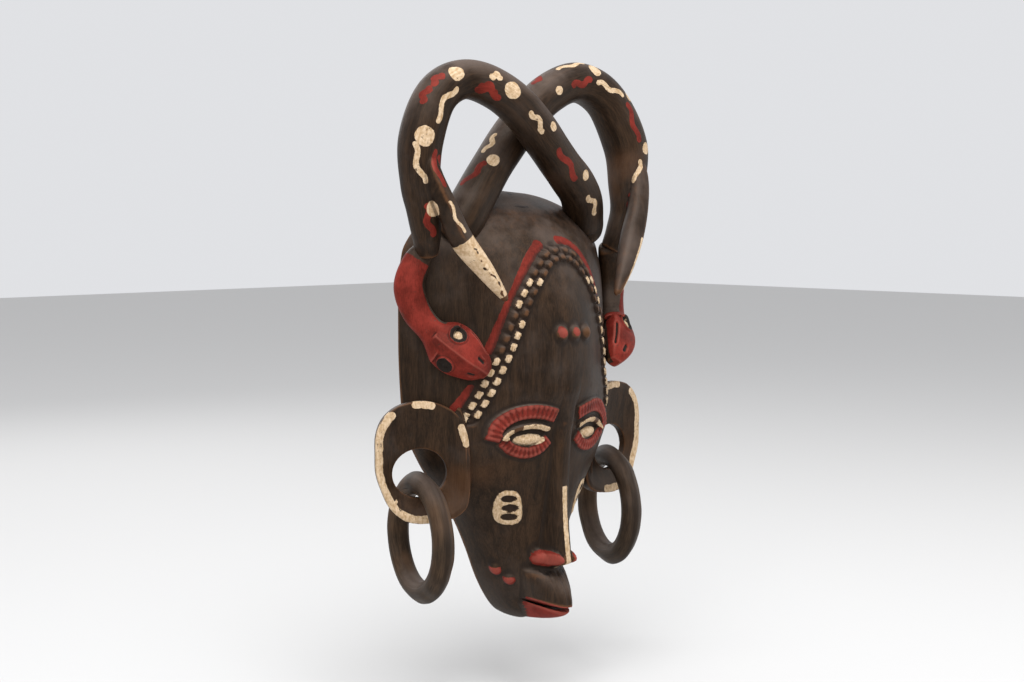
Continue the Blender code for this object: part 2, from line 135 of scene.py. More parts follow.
# ---- ears and rings ----
EARS = {"left": (-113.0, -24.0, -214.0, -29.0), "right": (109.0, -24.0, -214.0, 5.0)}
EAR_OUTLINE = [(35.5, 6), (35, -8), (31, -21), (24.5, -35), (14, -45), (2, -48.5), (-13, -48),
               (-28, -45), (-37, -38), (-40, -26), (-40, -12), (-40, 2), (-39, 17), (-36, 28),
               (-28, 39), (-17, 45.5), (-5, 48.5), (8, 48), (20, 44), (30, 35), (35, 22)]
EAR_HOLE = (-0.5, -9.0, 22.0, 19.5)
EAR_SECTION = [(0.0, 4.6), (0.16, 4.8), (0.6, 1.5), (1.0, -1.0), (1.0, -7.6), (0.5, -7.0), (0.0, -3.0)]
EAR_ROOT = [(4, 3, 2, 7, 40), (-8, -5, 2, 8, 42), (-20, -14, 0, 6, 38)]
EAR_SIDES, EAR_ARC_END = 300, 86
EAR_SPOTS = [(3.0, (-9, 45), (-3, 46)), (3.0, (1, 46.2), (4, 46)), (3.0, (-33, 27), (-37, 14)),
             (1.4, (18, -29), (20, -31)), (1.4, (9, -34), (10, -35))]
RING_SECTION = [(34.5, -4.0), (34.5, 4.0), (38.0, 8.0), (43.5, 9.5), (48.5, 7.0), (54.0, 0.0),
                (48.5, -7.0), (43.5, -9.5), (38.0, -8.0)]
RING_INNER, BAR_FRONT, BAR_DROP, RING_REACH = 34.5, -1.5, 10.0, 12.5
RING_TURN, RING_SEED, RING_SIDES = {"left": 74.0, "right": 70.0}, {"left": 21, "right": 22}, 300
EAR_PEG_SHORTER = 5.0


# ---- curves, tables and distances ----
def table(rows):
    """A smooth function through (height, value) rows, without overshoot."""
    xs, ys = np.array(sorted(rows), float).T
    steps = np.diff(xs)
    slopes = np.diff(ys) / steps
    same = slopes[:-1] * slopes[1:] > 0
    total = np.where(same, slopes[:-1] + slopes[1:], 1.0)
    tangents = np.concatenate(([slopes[0]], np.where(same, 2 * slopes[:-1] * slopes[1:] / total, 0.0),
                               [slopes[-1]]))

    def value(at):
        at = np.clip(at, xs[0], xs[-1])
        i = np.clip(np.searchsorted(xs, at, side="left") - 1, 0, len(steps) - 1)
        h = steps[i]
        t = (at - xs[i]) / h
        return ((1 + 2 * t) * (1 - t) ** 2 * ys[i] + t * (1 - t) ** 2 * h * tangents[i]
                + t * t * (3 - 2 * t) * ys[i + 1] + t * t * (t - 1) * h * tangents[i + 1])

    return value


def smooth_path(points, at):
    """Rows of a Catmull-Rom curve at places given in control points (0 is the first)."""
    rows = np.array(points, float)
    rows = np.vstack([2 * rows[0] - rows[1], rows, 2 * rows[-1] - rows[-2]])
    at = np.asarray(at, float)
    i = np.clip(at.astype(int), 0, len(points) - 2)
    t = (at - i)[:, None]
    a, b, c, d = rows[i], rows[i + 1], rows[i + 2], rows[i + 3]
    return 0.5 * (2 * b + (c - a) * t + (2 * a - 5 * b + 4 * c - d) * t**2
                  + (3 * b - a - 3 * c + d) * t**3)


def fine(points, count):
    return smooth_path(points, np.linspace(0, len(points) - 1, count))


def near_path(points, path):
    """Distance of each point to a polyline in any dimension, how far along it, and the side."""
    best = np.full(len(points), 1e9)
    along = np.zeros(len(points))
    side = np.ones(len(points))
    start = 0.0
    for a, b in zip(path, path[1:]):
        ab = b - a
        length = np.linalg.norm(ab)
        t = np.clip(((points - a) @ ab) / max(length**2, 1e-9), 0, 1)
        away = points - a - t[:, None] * ab
        d = np.linalg.norm(away, axis=1)
        closer = d < best
        best[closer] = d[closer]
        along[closer] = start + t[closer] * length
        if len(ab) == 2:
            side[closer] = np.sign(away[closer, 0] * ab[1] - away[closer, 1] * ab[0])
        start += length
    return best, along, side


def lengths(path):
    """How far along a path of (x, z) or (x, y, z, ...) rows each row is."""
    steps = np.linalg.norm(np.diff(path[:, :3], axis=0), axis=1)
    return np.concatenate(([0], np.cumsum(steps)))


def within_ends(points, path):
    """Distance inside the planes that cut a path off square at its two ends."""
    first, last = path[1] - path[0], path[-2] - path[-1]
    return np.minimum((points - path[0]) @ first / np.linalg.norm(first),
                      (points - path[-1]) @ last / np.linalg.norm(last))


def bump(distance, half_width):
    t = np.minimum(np.abs(distance) / half_width, 1.0)
    return (1 - t * t) ** 2


def plateau(distance, half_width, edge):
    t = np.clip((np.abs(distance) - half_width + edge) / edge, 0, 1)
    return 1 - t * t * (3 - 2 * t)


def waves(points, size, seed, octaves=3):
    """Soft unevenness from -1 to 1, the same each run: a few crossing sine waves an octave."""
    draw = np.random.default_rng(seed)
    total = np.zeros(len(points))
    for octave in range(octaves):
        for _ in range(4):
            direction = draw.normal(size=points.shape[1])
            direction *= 2 * math.pi / (size / 2**octave * np.linalg.norm(direction))
            total += np.sin(points @ direction + draw.uniform(0, 6.28)) / 2**octave
    return total / 4


width_at, depth_at, roundness_at, drop_at = map(table, (HALF_WIDTH, DEPTH, ROUNDNESS, CHIN_DROP))
BAND_LINE, BROW_LINE, LID_LINE, LASH_LINE = (fine(p, 40) for p in (BAND, BROW, LOWER_LID, UPPER_LID))
BAND_LENGTH = lengths(BAND_LINE)[-1]


# ---- the carved face ----
UNPAINTED = -9.0


class Carving:
    """Relief and paint over the face, which each carved feature adds to. Paint is kept as the distance
    inside its outline, and shade as a share of full darkness."""

    def __init__(self, x, z):
        self.x, self.z, self.across = x, z, np.abs(x)
        self.flat = np.column_stack([self.across, z])
        self.height, self.shade = np.zeros(len(x)), np.zeros(len(x))
        self.coats = {coat: np.full(len(x), UNPAINTED) for coat in ("ivory", "red", "dark")}

    def paint(self, coat, inside):
        self.coats[coat] = np.maximum(self.coats[coat], inside)

    def darken(self, share):
        self.shade = np.maximum(self.shade, share)


def squares(points, along, offset):
    """The braid band's raised squares: how far inside one a point is, and whether it is painted."""
    best, painted = np.full(len(points), UNPAINTED), np.zeros(len(points), bool)
    for row, centre in ((0, -SQUARE_ROW), (1, SQUARE_ROW)):
        place = along / SQUARE_PITCH + 0.5 * row
        count = np.floor(place)
        a = np.abs(place - count - 0.5) * SQUARE_PITCH
        b = np.abs(offset - centre)
        inside = SQUARE_WIDE - (np.maximum(a - SQUARE_LONG + SQUARE_WIDE, 0) ** 4 + b**4) ** 0.25
        share = (count + 0.5) * SQUARE_PITCH / BAND_LENGTH
        if row == 1:
            on = (share > 0.48) | ((share > 0.24) & (share < 0.29))
        else:
            on = (share > 0.68) | ((share > 0.22) & (share < 0.42))
        closer = inside > best
        best[closer], painted[closer] = inside[closer], on[closer]
    return best, painted


def nose_profile(x, z):
    down = np.clip((NOSE_TOP - z) / (NOSE_TOP - NOSE_BOTTOM), 0, 1.1)
    half = 9.0 + 4.0 * down
    rise = plateau(z, -NOSE_BOTTOM + 6, 10) * np.clip((NOSE_TOP + 16 - z) / 38, 0, 1) ** 1.4
    t = np.clip(x / half, 0, 1)
    return (5.5 + 17.0 * down**2.4) * (1 - t**3.2) ** 1.2 * rise


def ribs(along, pitch):
    """Rounded ribs with narrow grooves between them."""
    return np.abs(np.sin(math.pi * along / pitch)) ** 0.5


def carve_nose(c):
    c.height += nose_profile(c.across, c.z)
    x, z = c.across - NOSE_WING[0], c.z - NOSE_WING[1]
    wing = np.hypot((0.8 * x + 0.6 * z) / WING_LENGTH, (0.8 * z - 0.6 * x) / WING_WIDTH)
    c.height += 11.0 * np.clip(1 - wing**2, 0, 1) ** 0.65
    c.paint("red", np.minimum((0.97 - wing) * 7, c.across - 6.0))
    half, top, bottom = NOSE_STRIPE
    c.paint("ivory", np.minimum(half - c.across, np.minimum(top - c.z, c.z - bottom)) + 0.1)
    nostril = np.hypot((c.across - 9) / 1.4, c.z + 311)
    c.paint("dark", 1.2 - np.abs(nostril - 2))


def carve_ribbed(c, line, pitch, half, blunt, rise, painted, shaded, taper):
    """A raised strip cut into ribs and off square at its ends."""
    d, along, _ = near_path(c.flat, line)
    rib, ends = ribs(along, pitch), within_ends(c.flat, line)
    c.height += rise * plateau(np.maximum(d, blunt - ends), half, 2.0) * (0.76 + 0.24 * rib)
    c.paint("red", np.minimum(painted - d, taper * ends))
    c.darken(0.8 * (1 - rib) * (d < shaded) * (ends > 0))


def carve_eye(c):
    carve_ribbed(c, BROW_LINE, *BROW_RIBS)
    carve_ribbed(c, LID_LINE, *LOWER_LID_RIBS)
    socket = np.hypot((c.across - EYE[0] - 2) / 2.4, c.z - EYE[1] - 1)
    c.height -= 2.6 * plateau(socket, 10, 5)
    d, along, _ = near_path(c.flat, LASH_LINE)
    c.height += 3.4 * plateau(d, 3.4, 1.8)
    chipped = (np.abs(along - 13) < 4.0) & (c.across > 30)
    c.paint("ivory", np.where(chipped, -1.0, 2.0 - d))
    eye = np.sqrt(((c.across - EYE[0]) / EYE_HALF[0]) ** 2 + ((c.z - EYE[1] + 1.0) / EYE_HALF[1]) ** 2)
    ball, rim = np.clip(1 - eye**2, 0, 1) ** 0.6, plateau((eye - 1.12) * 6, 1.6, 1.2)
    c.height += 5.6 * ball + 0.8 * rim
    c.paint("ivory", (0.93 - eye) * 5.5)


def carve_band(c):
    """The braid band: a raised strip with two rows of squares."""
    d, along, side = near_path(c.flat, BAND_LINE)
    c.height += 2.2 * plateau(d, 7.6, 1.8) * (along < BAND_LENGTH - 0.1)
    inside, painted = squares(c.flat, along, d * side)
    in_band = plateau(d, 7.4, 1.0)
    c.height += (2.9 * plateau(np.maximum(-inside, 0), 0.9, 1.1) - 1.6) * in_band
    c.darken(np.clip(-inside, 0, 1.2) / 1.2 * in_band)
    c.paint("ivory", np.where(painted & (d < 7.0), inside + 0.1, UNPAINTED))


def carve_scars(c):
    """Three raised scars in a row on the forehead, touched with red."""
    pill = np.hypot(np.maximum(c.across - 13, 0), c.z - SCAR_Z)
    c.darken(0.55 * plateau(pill, 8.0, 2.5))
    for centre, red_size in SCARS:
        d = np.hypot((c.x - centre) / 1.05, (c.z - SCAR_Z) / 1.15)
        c.height += 5.3 * bump(d, 7.0) ** 0.7
        c.shade *= 1 - bump(d, 7.0) ** 0.5
        c.paint("red", red_size - np.hypot(c.x - centre + 1.2, (c.z - SCAR_Z - 1) / 1.3))


def carve_cheek_mark(c):
    """A rounded plate with three slots, upright on the slanting cheek."""
    z = c.z - CHEEK_MARK[1]
    x = (c.across - CHEEK_MARK[0] - CHEEK_SLANT * z) * 1.2
    half_x, half_z = CHEEK_MARK_HALF
    plate = 1 - ((np.abs(x) / half_x) ** 2.6 + (np.abs(z) / half_z) ** 2.6) ** (1 / 2.6)
    slots = np.full(len(x), UNPAINTED)
    for slot_z, slot_x, half in CHEEK_SLOTS:
        inside = 1 - np.sqrt(((x - slot_x) / half) ** 2 + ((z - slot_z) / 3.0) ** 2)
        slots = np.maximum(slots, inside * 3.0)
    groove, tongue = np.clip(slots * 0.9, 0, 1), np.clip(slots - 1.0, 0, 1)
    c.height += 1.3 * np.clip(plate * 9, 0, 1) - 2.2 * groove + 1.6 * tongue
    c.paint("ivory", np.minimum(plate * 10 + 0.3, -slots))
    c.darken(0.6 * np.clip(slots, 0, 1))


def carve_mouth(c):
    """Two lips that jut forward, the upper one sloping out from under the nose."""
    narrowing = np.where(c.z > LIP_PARTING, 0.25, 0.7)
    half = np.maximum(15 + narrowing * (c.z - LIP_PARTING), 4.0)
    width = np.clip(1 - (c.across / half) ** 2, 0, 1) ** 0.4
    parting = LIP_PARTING + 6 * np.clip(c.across / half, 0, 1) ** 2
    slope = np.clip((LIP_TOP - c.z) / (LIP_TOP - parting), 0, 1)
    above = np.clip((c.z - parting) / 1.4 + 0.5, 0, 1)
    below = np.clip((parting - 2.2 - c.z) / 1.4 + 0.5, 0, 1)
    upper = UPPER_LIP * width * slope**0.6 * above
    lower = LOWER_LIP * width * below * np.clip(1 - ((c.z + 344) / 10.5) ** 2, 0, 1) ** 0.5
    c.height += np.maximum(upper, lower)
    for place, depth, half_width in ((0, 1.5, 2.6), (8, 0.8, 2.0)):
        c.height -= depth * bump(c.across - place, half_width) * width * above * (slope > 0.1)
    c.paint("red", np.minimum(parting - 2.4 - c.z, 0.4 * (lower - 4)))
    c.paint("red", np.minimum(1.3 - np.abs(c.z - parting - 0.6), 0.3 * (upper - 6)))
    c.darken(0.9 * (1 - above) * (1 - below) * (width > 0.1))


def face(x, z):
    """The whole carving at places across and down the head."""
    c = Carving(x, z)
    for carve in (carve_nose, carve_eye, carve_band, carve_scars, carve_cheek_mark, carve_mouth):
        carve(c)
    return c


def head_point(side, z, carve=True, wall_side=0.0, wall_front=0.0):
    """Points of the head: side from -1 to 1 across it, z down it."""
    w = np.maximum(width_at(z) - wall_side, 0.0)
    d = np.maximum(depth_at(z) - wall_front, 0.0)
    r = np.abs(np.sin(side * math.pi / 2))
    straight = (np.sqrt(r * r + WEDGE**2) - WEDGE) / (math.sqrt(1 + WEDGE**2) - WEDGE)
    m = roundness_at(z)
    x = w * np.sin(side * math.pi / 2)
    y = -d * (1 - (1 - m) * straight - m * (1 - np.cos(side * math.pi / 2)))
    z = z + drop_at(z) * y
    if carve:
        fade = np.minimum(1.0, 6 * (1 - np.abs(side)))
        y = y - face(x, z).height * fade
        y = y + 0.35 * waves(np.column_stack([x, y, z]), 34, 5, 2) * fade
    return np.column_stack([x, np.where(np.abs(side) < 1, y, 0.0), z])


# ---- meshes and their attributes ----
def mesh_object(name, points, faces):
    mesh = bpy.data.meshes.new(name)
    mesh.from_pydata((np.asarray(points) * MM).tolist(), [], [tuple(f) for f in faces])
    mesh.validate()
    obj = bpy.data.objects.new(name, mesh)
    bpy.context.scene.collection.objects.link(obj)
    return obj


def grid_faces(rows, columns, ring=False, closed=False, start=0):
    """Quads of a grid of points; ring joins each row's ends, closed joins the last row to the first."""
    i, j = np.meshgrid(np.arange(rows if closed else rows - 1),
                       np.arange(columns if ring else columns - 1), indexing="ij")
    a, b = i * columns + j, i * columns + (j + 1) % columns
    c, d = ((i + 1) % rows) * columns + (j + 1) % columns, ((i + 1) % rows) * columns + j
    return (np.stack([a, d, c, b], -1).reshape(-1, 4) + start).tolist()


def coordinates(obj):
    co = np.empty(len(obj.data.vertices) * 3, np.float32)
    obj.data.vertices.foreach_get("co", co)
    return co.reshape(-1, 3).astype(float) / MM


def normals(obj):
    flat = np.empty(len(obj.data.vertices) * 3, np.float32)
    obj.data.vertex_normals.foreach_get("vector", flat)
    return flat.reshape(-1, 3).astype(float)


def set_coordinates(obj, points):
    obj.data.vertices.foreach_set("co", (points * MM).astype(np.float32).ravel())
    obj.data.update()


def attribute(obj, name, values):
    values = np.asarray(values, np.float32)
    kind, field = ("FLOAT_VECTOR", "vector") if values.ndim == 2 else ("FLOAT", "value")
    made = obj.data.attributes.new(name, kind, "POINT")
    made.data.foreach_set(field, values.ravel())


def relax(obj, values, rounds):
    """Values averaged with their neighbours' a number of times."""
    edges = np.empty(len(obj.data.edges) * 2, np.int32)
    obj.data.edges.foreach_get("vertices", edges)
    a, b = edges.reshape(-1, 2).T
    n = len(obj.data.vertices)
    count = np.maximum(np.bincount(a, minlength=n) + np.bincount(b, minlength=n), 1)
    values = values.copy()
    for _ in range(rounds):
        for k in range(values.shape[1]):
            v = values[:, k]
            around = (np.bincount(a, v[b], minlength=n) + np.bincount(b, v[a], minlength=n)) / count
            values[:, k] = 0.5 * (v + around)
    return values


def finish_piece(obj, node, body, material, ivory=None, red=None, dark=None, shade=None, grain=None):
    """Paint, wear, painted shade and grain attributes, the material, and the piece's place in the frame."""
    points = coordinates(obj)
    nothing = np.full(len(points), UNPAINTED)
    for name, values in (("ivory", ivory), ("red", red), ("dark", dark)):
        attribute(obj, name, np.clip(nothing if values is None else values, UNPAINTED, -UNPAINTED))
    raised = ((points - relax(obj, points, 14)) * normals(obj)).sum(1)
    attribute(obj, "edge", relax(obj, np.clip(raised / 0.35, -1, 1)[:, None], 2)[:, 0])
    attribute(obj, "shade", np.zeros(len(points)) if shade is None else shade)
    attribute(obj, "grain", points * (1, 1, 0.1) if grain is None else grain)
    obj.data.polygons.foreach_set("use_smooth", np.ones(len(obj.data.polygons), bool))
    obj.data.materials.append(material)
    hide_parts(node)
    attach(obj, body)


def merged(name, parts, voxel, smooth):
    """One skin over overlapping closed meshes, as if carved from one block."""
    for o in bpy.context.selected_objects:
        o.select_set(False)
    for o in parts:
        o.select_set(True)
    bpy.context.view_layer.objects.active = parts[0]
    if len(parts) > 1:
        bpy.ops.object.join()
    obj = parts[0]
    remesh = obj.modifiers.new("skin", "REMESH")
    remesh.mode = "VOXEL"
    remesh.voxel_size = voxel * MM
    relaxed = obj.modifiers.new("soften", "SMOOTH")
    relaxed.iterations = smooth
    skin = bpy.data.meshes.new_from_object(obj.evaluated_get(bpy.context.evaluated_depsgraph_get()))
    made = bpy.data.objects.new(name, skin)
    bpy.context.scene.collection.objects.link(made)
    bpy.data.objects.remove(obj)
    return made


def frames(path, outward):
    """Directions along, across and outward at each row of a path."""
    centres = path[:, :3]
    along = np.gradient(centres, axis=0)
    along /= np.linalg.norm(along, axis=1)[:, None]
    across = np.cross(along, outward)
    across /= np.linalg.norm(across, axis=1)[:, None]
    return centres, along, across, np.cross(across, along)


def tube(name, path, sides, outward, square=1.0, ridge=0.0):
    """Closed tube along a fine path of (x, y, z, half sizes) rows. square below 1 flattens its
    sides, and ridge raises a crest on its outward side."""
    centres, _, across, out = frames(path, outward)
    angle = np.arange(sides) * 2 * math.pi / sides
    c = np.sign(np.cos(angle)) * np.abs(np.cos(angle)) ** square
    s = np.sign(np.sin(angle)) * np.abs(np.sin(angle)) ** square
    crest = 1 + ridge * np.maximum(0, 1 - np.abs(angle - math.pi / 2) / 0.9)
    ring = (across[:, None] * (path[:, 3, None, None] * c[None, :, None])
            + out[:, None] * (path[:, -1, None, None] * (s * crest)[None, :, None]))
    points = (centres[:, None] + ring).reshape(-1, 3)
    faces = grid_faces(len(path), sides, ring=True)
    n = len(points)
    for k, row in ((0, 0), (1, len(path) - 1)):
        first = row * sides
        for j in range(sides):
            a, b = first + j, first + (j + 1) % sides
            faces.append((a, b, n + k) if k == 0 else (b, a, n + k))
    points = np.vstack([points, centres[0], centres[-1]])
    return mesh_object(name, points, faces)


def round_path(points, path, outward):
    """Nearest row of a path, the angle round it in degrees and the distance from it."""
    centres, _, across, out = frames(path, outward)
    tree = KDTree(len(centres))
    for i, c in enumerate(centres):
        tree.insert(c, i)
    tree.balance()
    row = np.array([tree.find(p)[1] for p in points])
    away = points - centres[row]
    u, v = (away * across[row]).sum(1), (away * out[row]).sum(1)
    return row, np.degrees(np.arctan2(v, u)), np.hypot(u, v)


SKIN_ROWS, SKIN_COLUMNS = 181, 101
SKIN_GRID = np.meshgrid(np.linspace(-1, 1, SKIN_COLUMNS), -HEAD_HEIGHT * np.linspace(0, 1, SKIN_ROWS))
HEAD_SKIN = head_point(*[g.ravel() for g in SKIN_GRID], carve=False)


def seat(obj, depth=4.0):
    """Keeps the part of a piece that runs into the head within a few millimetres of its surface."""
    grid = HEAD_SKIN.reshape(SKIN_ROWS, SKIN_COLUMNS, 3)
    normal = np.cross(np.gradient(grid, axis=1), np.gradient(grid, axis=0)).reshape(-1, 3)
    normal /= np.linalg.norm(normal, axis=1)[:, None] + 1e-12
    inward = (normal * (HEAD_SKIN - (0, 10, -150))).sum(1) < 0
    normal[inward] *= -1
    tree = KDTree(len(HEAD_SKIN))
    for i, p in enumerate(HEAD_SKIN):
        tree.insert(p, i)
    tree.balance()
    points = coordinates(obj)
    near = np.array([tree.find(p)[1] for p in points])
    below = ((HEAD_SKIN[near] - points) * normal[near]).sum(1)
    push = np.where((below > depth) & (points[:, 1] < 3), below - depth, 0.0)
    set_coordinates(obj, points + normal[near] * push[:, None])


# ---- materials ----
class Nodes:
    """Short calls that add and link shader nodes."""

    def __init__(self, name):
        self.material = bpy.data.materials.new(name)
        self.material.use_nodes = True
        self.tree = self.material.node_tree
        self.shader = self.tree.nodes["Principled BSDF"]

    def put(self, socket, value):
        if isinstance(value, bpy.types.NodeSocket):
            self.tree.links.new(value, socket)
        elif value is not None:
            socket.default_value = value

    def add(self, kind, **settings):
        node = self.tree.nodes.new(kind)
        for key, value in settings.items():
            setattr(node, key, value)
        return node

    def math(self, operation, a, b=None, clamp=False):
        node = self.add("ShaderNodeMath", operation=operation, use_clamp=clamp)
        self.put(node.inputs[0], a)
        self.put(node.inputs[1], b)
        return node.outputs[0]

    def weighted(self, a, share_a, b, share_b):
        return self.math("ADD", self.math("MULTIPLY", a, share_a), self.math("MULTIPLY", b, share_b))

    def around(self, value, gain):
        """A noise value turned into one that swings about zero."""
        return self.math("MULTIPLY", self.math("SUBTRACT", value, 0.5), gain)

    def attribute(self, name, vector=False):
        node = self.add("ShaderNodeAttribute", attribute_name=name)
        return node.outputs["Vector" if vector else "Fac"]

    def noise(self, place, scale, detail=4.0, roughness=0.55, distortion=0.0):
        node = self.add("ShaderNodeTexNoise")
        self.put(node.inputs["Vector"], place)
        for key, value in (("Scale", scale), ("Detail", detail), ("Roughness", roughness),
                           ("Distortion", distortion)):
            node.inputs[key].default_value = value
        return node.outputs["Fac"]

    def step(self, value, low, high):
        """0 below low and 1 above high, smoothly."""
        node = self.add("ShaderNodeMapRange", interpolation_type="SMOOTHSTEP")
        self.put(node.inputs["Value"], value)
        node.inputs["From Min"].default_value = low
        node.inputs["From Max"].default_value = high
        return node.outputs["Result"]

    def mix(self, share, a, b, blend="MIX"):
        node = self.add("ShaderNodeMix", data_type="RGBA", blend_type=blend)
        self.put(node.inputs[0], share)
        for socket, value in ((node.inputs[6], a), (node.inputs[7], b)):
            self.put(socket, (*value, 1) if isinstance(value, tuple) else value)
        return node.outputs[2]


FILM, DUST_AND_TOP_LIGHT, HOLLOW_SHADE = (0.07, 0.056, 0.05), (0.125, 0.092, 0.075), (0.011, 0.008, 0.007)
SHADOW, BLACK_PAINT_AND_SHADE = (0.016, 0.009, 0.007), (0.012, 0.009, 0.008)
RED_DEEP, RED_BRIGHT, RED_WORN = (0.085, 0.0075, 0.0045), (0.21, 0.023, 0.0155), (0.36, 0.09, 0.066)
IVORY_AGED, IVORY_FRESH = (0.36, 0.23, 0.115), (0.64, 0.485, 0.325)


def painted_wood(name, dark, light, worn, wear=0.5, film=0.3, gloss=0.46):
    """Stained wood with grain, worn edges, a greasy film, a dusty tone with painted top light on what faces
    up, painted shade in hollows and where the shade attribute asks, under chipped red, black and ivory paint;
    the black also paints shade into the hanging hole and the serpents' cut lines."""
    n = Nodes(name)
    grain = n.attribute("grain", vector=True)
    place = n.add("ShaderNodeTexCoord").outputs["Object"]
    fibres = n.noise(grain, 1.1, 6, 0.65, 0.2)
    bands = n.noise(grain, 0.16, 4, 0.6, 0.6)
    patches = n.noise(place, 26, 4, 0.6)
    speck = n.noise(place, 420, 3, 0.6)
    edge, shade = n.attribute("edge"), n.attribute("shade")

    wood = n.mix(n.step(n.weighted(fibres, 0.55, bands, 0.55), 0.38, 0.78), dark, light)
    wood = n.mix(n.math("MULTIPLY", n.step(patches, 0.45, 0.75), film), wood, FILM)
    # A dusty tone that is partly painted top light: surfaces facing up are painted lighter, standing in for
    # light from above.
    upward = n.add("ShaderNodeSeparateXYZ")
    n.put(upward.inputs[0], n.add("ShaderNodeNewGeometry").outputs["Normal"])
    dust_and_top_light = n.math("MULTIPLY", n.step(upward.outputs["Z"], -0.1, 0.95), n.step(patches, 0.3, 0.62))
    wood = n.mix(n.math("MULTIPLY", dust_and_top_light, 0.6), wood, DUST_AND_TOP_LIGHT)
    rub = n.math("ADD", edge, n.around(n.noise(place, 90, 5, 0.7), 1.3))
    wood = n.mix(n.math("MULTIPLY", n.step(rub, 0.35, 0.95), wear), wood, worn)
    wood = n.mix(n.math("MULTIPLY", n.step(n.noise(place, 14, 3, 0.5), 0.56, 0.76), wear * 0.55), wood, worn)

    ragged = n.around(n.noise(place, 330, 4, 0.6), 1.7)
    chips = n.step(n.weighted(n.noise(place, 170, 5, 0.68, 0.4), 0.75, fibres, 0.3), 0.625, 0.66)

    def mask(coat, chipped):
        inside = n.step(n.math("ADD", n.attribute(coat), ragged), -0.12, 0.22)
        kept = n.math("SUBTRACT", 1.0, n.math("MULTIPLY", chips, chipped))
        return n.math("MULTIPLY", inside, kept, clamp=True)

    red_mask, dark_mask, ivory_mask = mask("red", 0.55), mask("dark", 0.0), mask("ivory", 0.8)
    red_tone = n.weighted(n.noise(place, 55, 4, 0.65), 0.7, fibres, 0.35)
    red = n.mix(n.step(red_tone, 0.36, 0.68), RED_DEEP, RED_BRIGHT)
    red = n.mix(n.math("MULTIPLY", n.step(edge, 0.25, 0.9), 0.4), red, RED_WORN)
    ivory_tone = n.weighted(n.noise(grain, 0.8, 5, 0.7), 0.6, speck, 0.45)
    ivory = n.mix(n.step(ivory_tone, 0.36, 0.66), IVORY_AGED, IVORY_FRESH)
    colour = n.mix(red_mask, wood, red)
    # Black paint, also used as painted shade in the hanging hole and in the serpents' cut nostrils and
    # mouths.
    colour = n.mix(dark_mask, colour, BLACK_PAINT_AND_SHADE)
    colour = n.mix(ivory_mask, colour, ivory)
    # Painted shade: concave hollows are painted darker, as if shaded.
    colour = n.mix(n.math("MULTIPLY", n.step(edge, -0.1, -0.75), 0.62), colour, HOLLOW_SHADE)
    colour = n.mix(n.math("MULTIPLY", shade, 0.82), colour, SHADOW)
    n.put(n.shader.inputs["Base Color"], colour)

    paint = n.math("MAXIMUM", red_mask, ivory_mask)
    rough = n.math("ADD", n.around(fibres, 0.25), gloss)
    rough = n.math("ADD", rough, n.math("MULTIPLY", paint, 0.14))
    n.put(n.shader.inputs["Roughness"], n.math("ADD", rough, n.around(patches, 0.3), clamp=True))
    n.shader.inputs["Specular IOR Level"].default_value = 0.17
    n.shader.inputs["Specular Tint"].default_value = (1.0, 0.8, 0.64, 1)

    height = n.weighted(fibres, 0.5, speck, 0.22)
    height = n.math("ADD", height, n.math("MULTIPLY", paint, 0.3))
    height = n.math("ADD", height, n.math("MULTIPLY", n.noise(place, 60, 2, 0.5), 0.7))
    bumps = n.add("ShaderNodeBump")
    bumps.inputs["Strength"].default_value = 0.55
    bumps.inputs["Distance"].default_value = 0.0007
    n.put(bumps.inputs["Height"], height)
    n.put(n.shader.inputs["Normal"], bumps.outputs["Normal"])
    return n.material


DARK_WOOD = painted_wood("dark_wood", (0.0075, 0.0042, 0.0026), (0.042, 0.0225, 0.012), (0.14, 0.06, 0.025))
RING_WOOD = painted_wood("ring_wood", (0.014, 0.0085, 0.005), (0.072, 0.045, 0.027), (0.18, 0.09, 0.042),
                         wear=0.7, film=0.22, gloss=0.5)


# ---- the head ----
def head_rows():
    """Heights of the head's rows, closer together where the carving is fine."""
    z = np.linspace(0, HEAD_HEIGHT, 1401)
    weight = (1 + 0.7 * plateau(z - 195, 40, 15) + 1.5 * plateau(z - 335, 30, 15)
              + 3.0 * np.exp(-z / 4.0) + 3.0 * np.exp(-(HEAD_HEIGHT - z) / 4.0))
    total = np.concatenate(([0], np.cumsum((weight[1:] + weight[:-1]) / 2)))
    return np.interp(np.arange(1, ROWS) / ROWS, total / total[-1], z / HEAD_HEIGHT)


def head_skins():
    """Points of the carved outside and the plain inside of the head, and the poles of both."""
    share = head_rows()
    t = np.linspace(-1, 1, COLUMNS + 1)
    side = np.sign(t) * (0.35 * np.abs(t) + 0.65 * np.abs(t) ** 1.5)
    side[[0, -1]] = -1, 1
    s, k = np.meshgrid(side, share)
    outer = head_point(s.ravel(), -HEAD_HEIGHT * k.ravel())
    s, k = np.meshgrid(np.linspace(-1, 1, INNER_COLUMNS + 1), share)
    s, k = s.ravel(), k.ravel()
    z = -WALL_TOP - (HEAD_HEIGHT - WALL_TOP - WALL_CHIN) * k
    keep = np.minimum(1.0, np.minimum(5 * k, 5 * (1 - k)))
    inner = head_point(s, z, False, WALL_SIDE * keep, WALL_FRONT * keep)
    inner[:, 2] = z + 0.5 * (inner[:, 2] - z)
    gouged = 0.9 * waves(inner, 26, 8, 2)
    inner[:, 1] += np.where(np.abs(s) < 1, gouged, 0) * (inner[:, 1] < -3)
    poles = np.zeros((4, 3))
    poles[:, 2] = 0, -HEAD_HEIGHT, -WALL_TOP, WALL_CHIN - HEAD_HEIGHT
    return outer, inner, poles


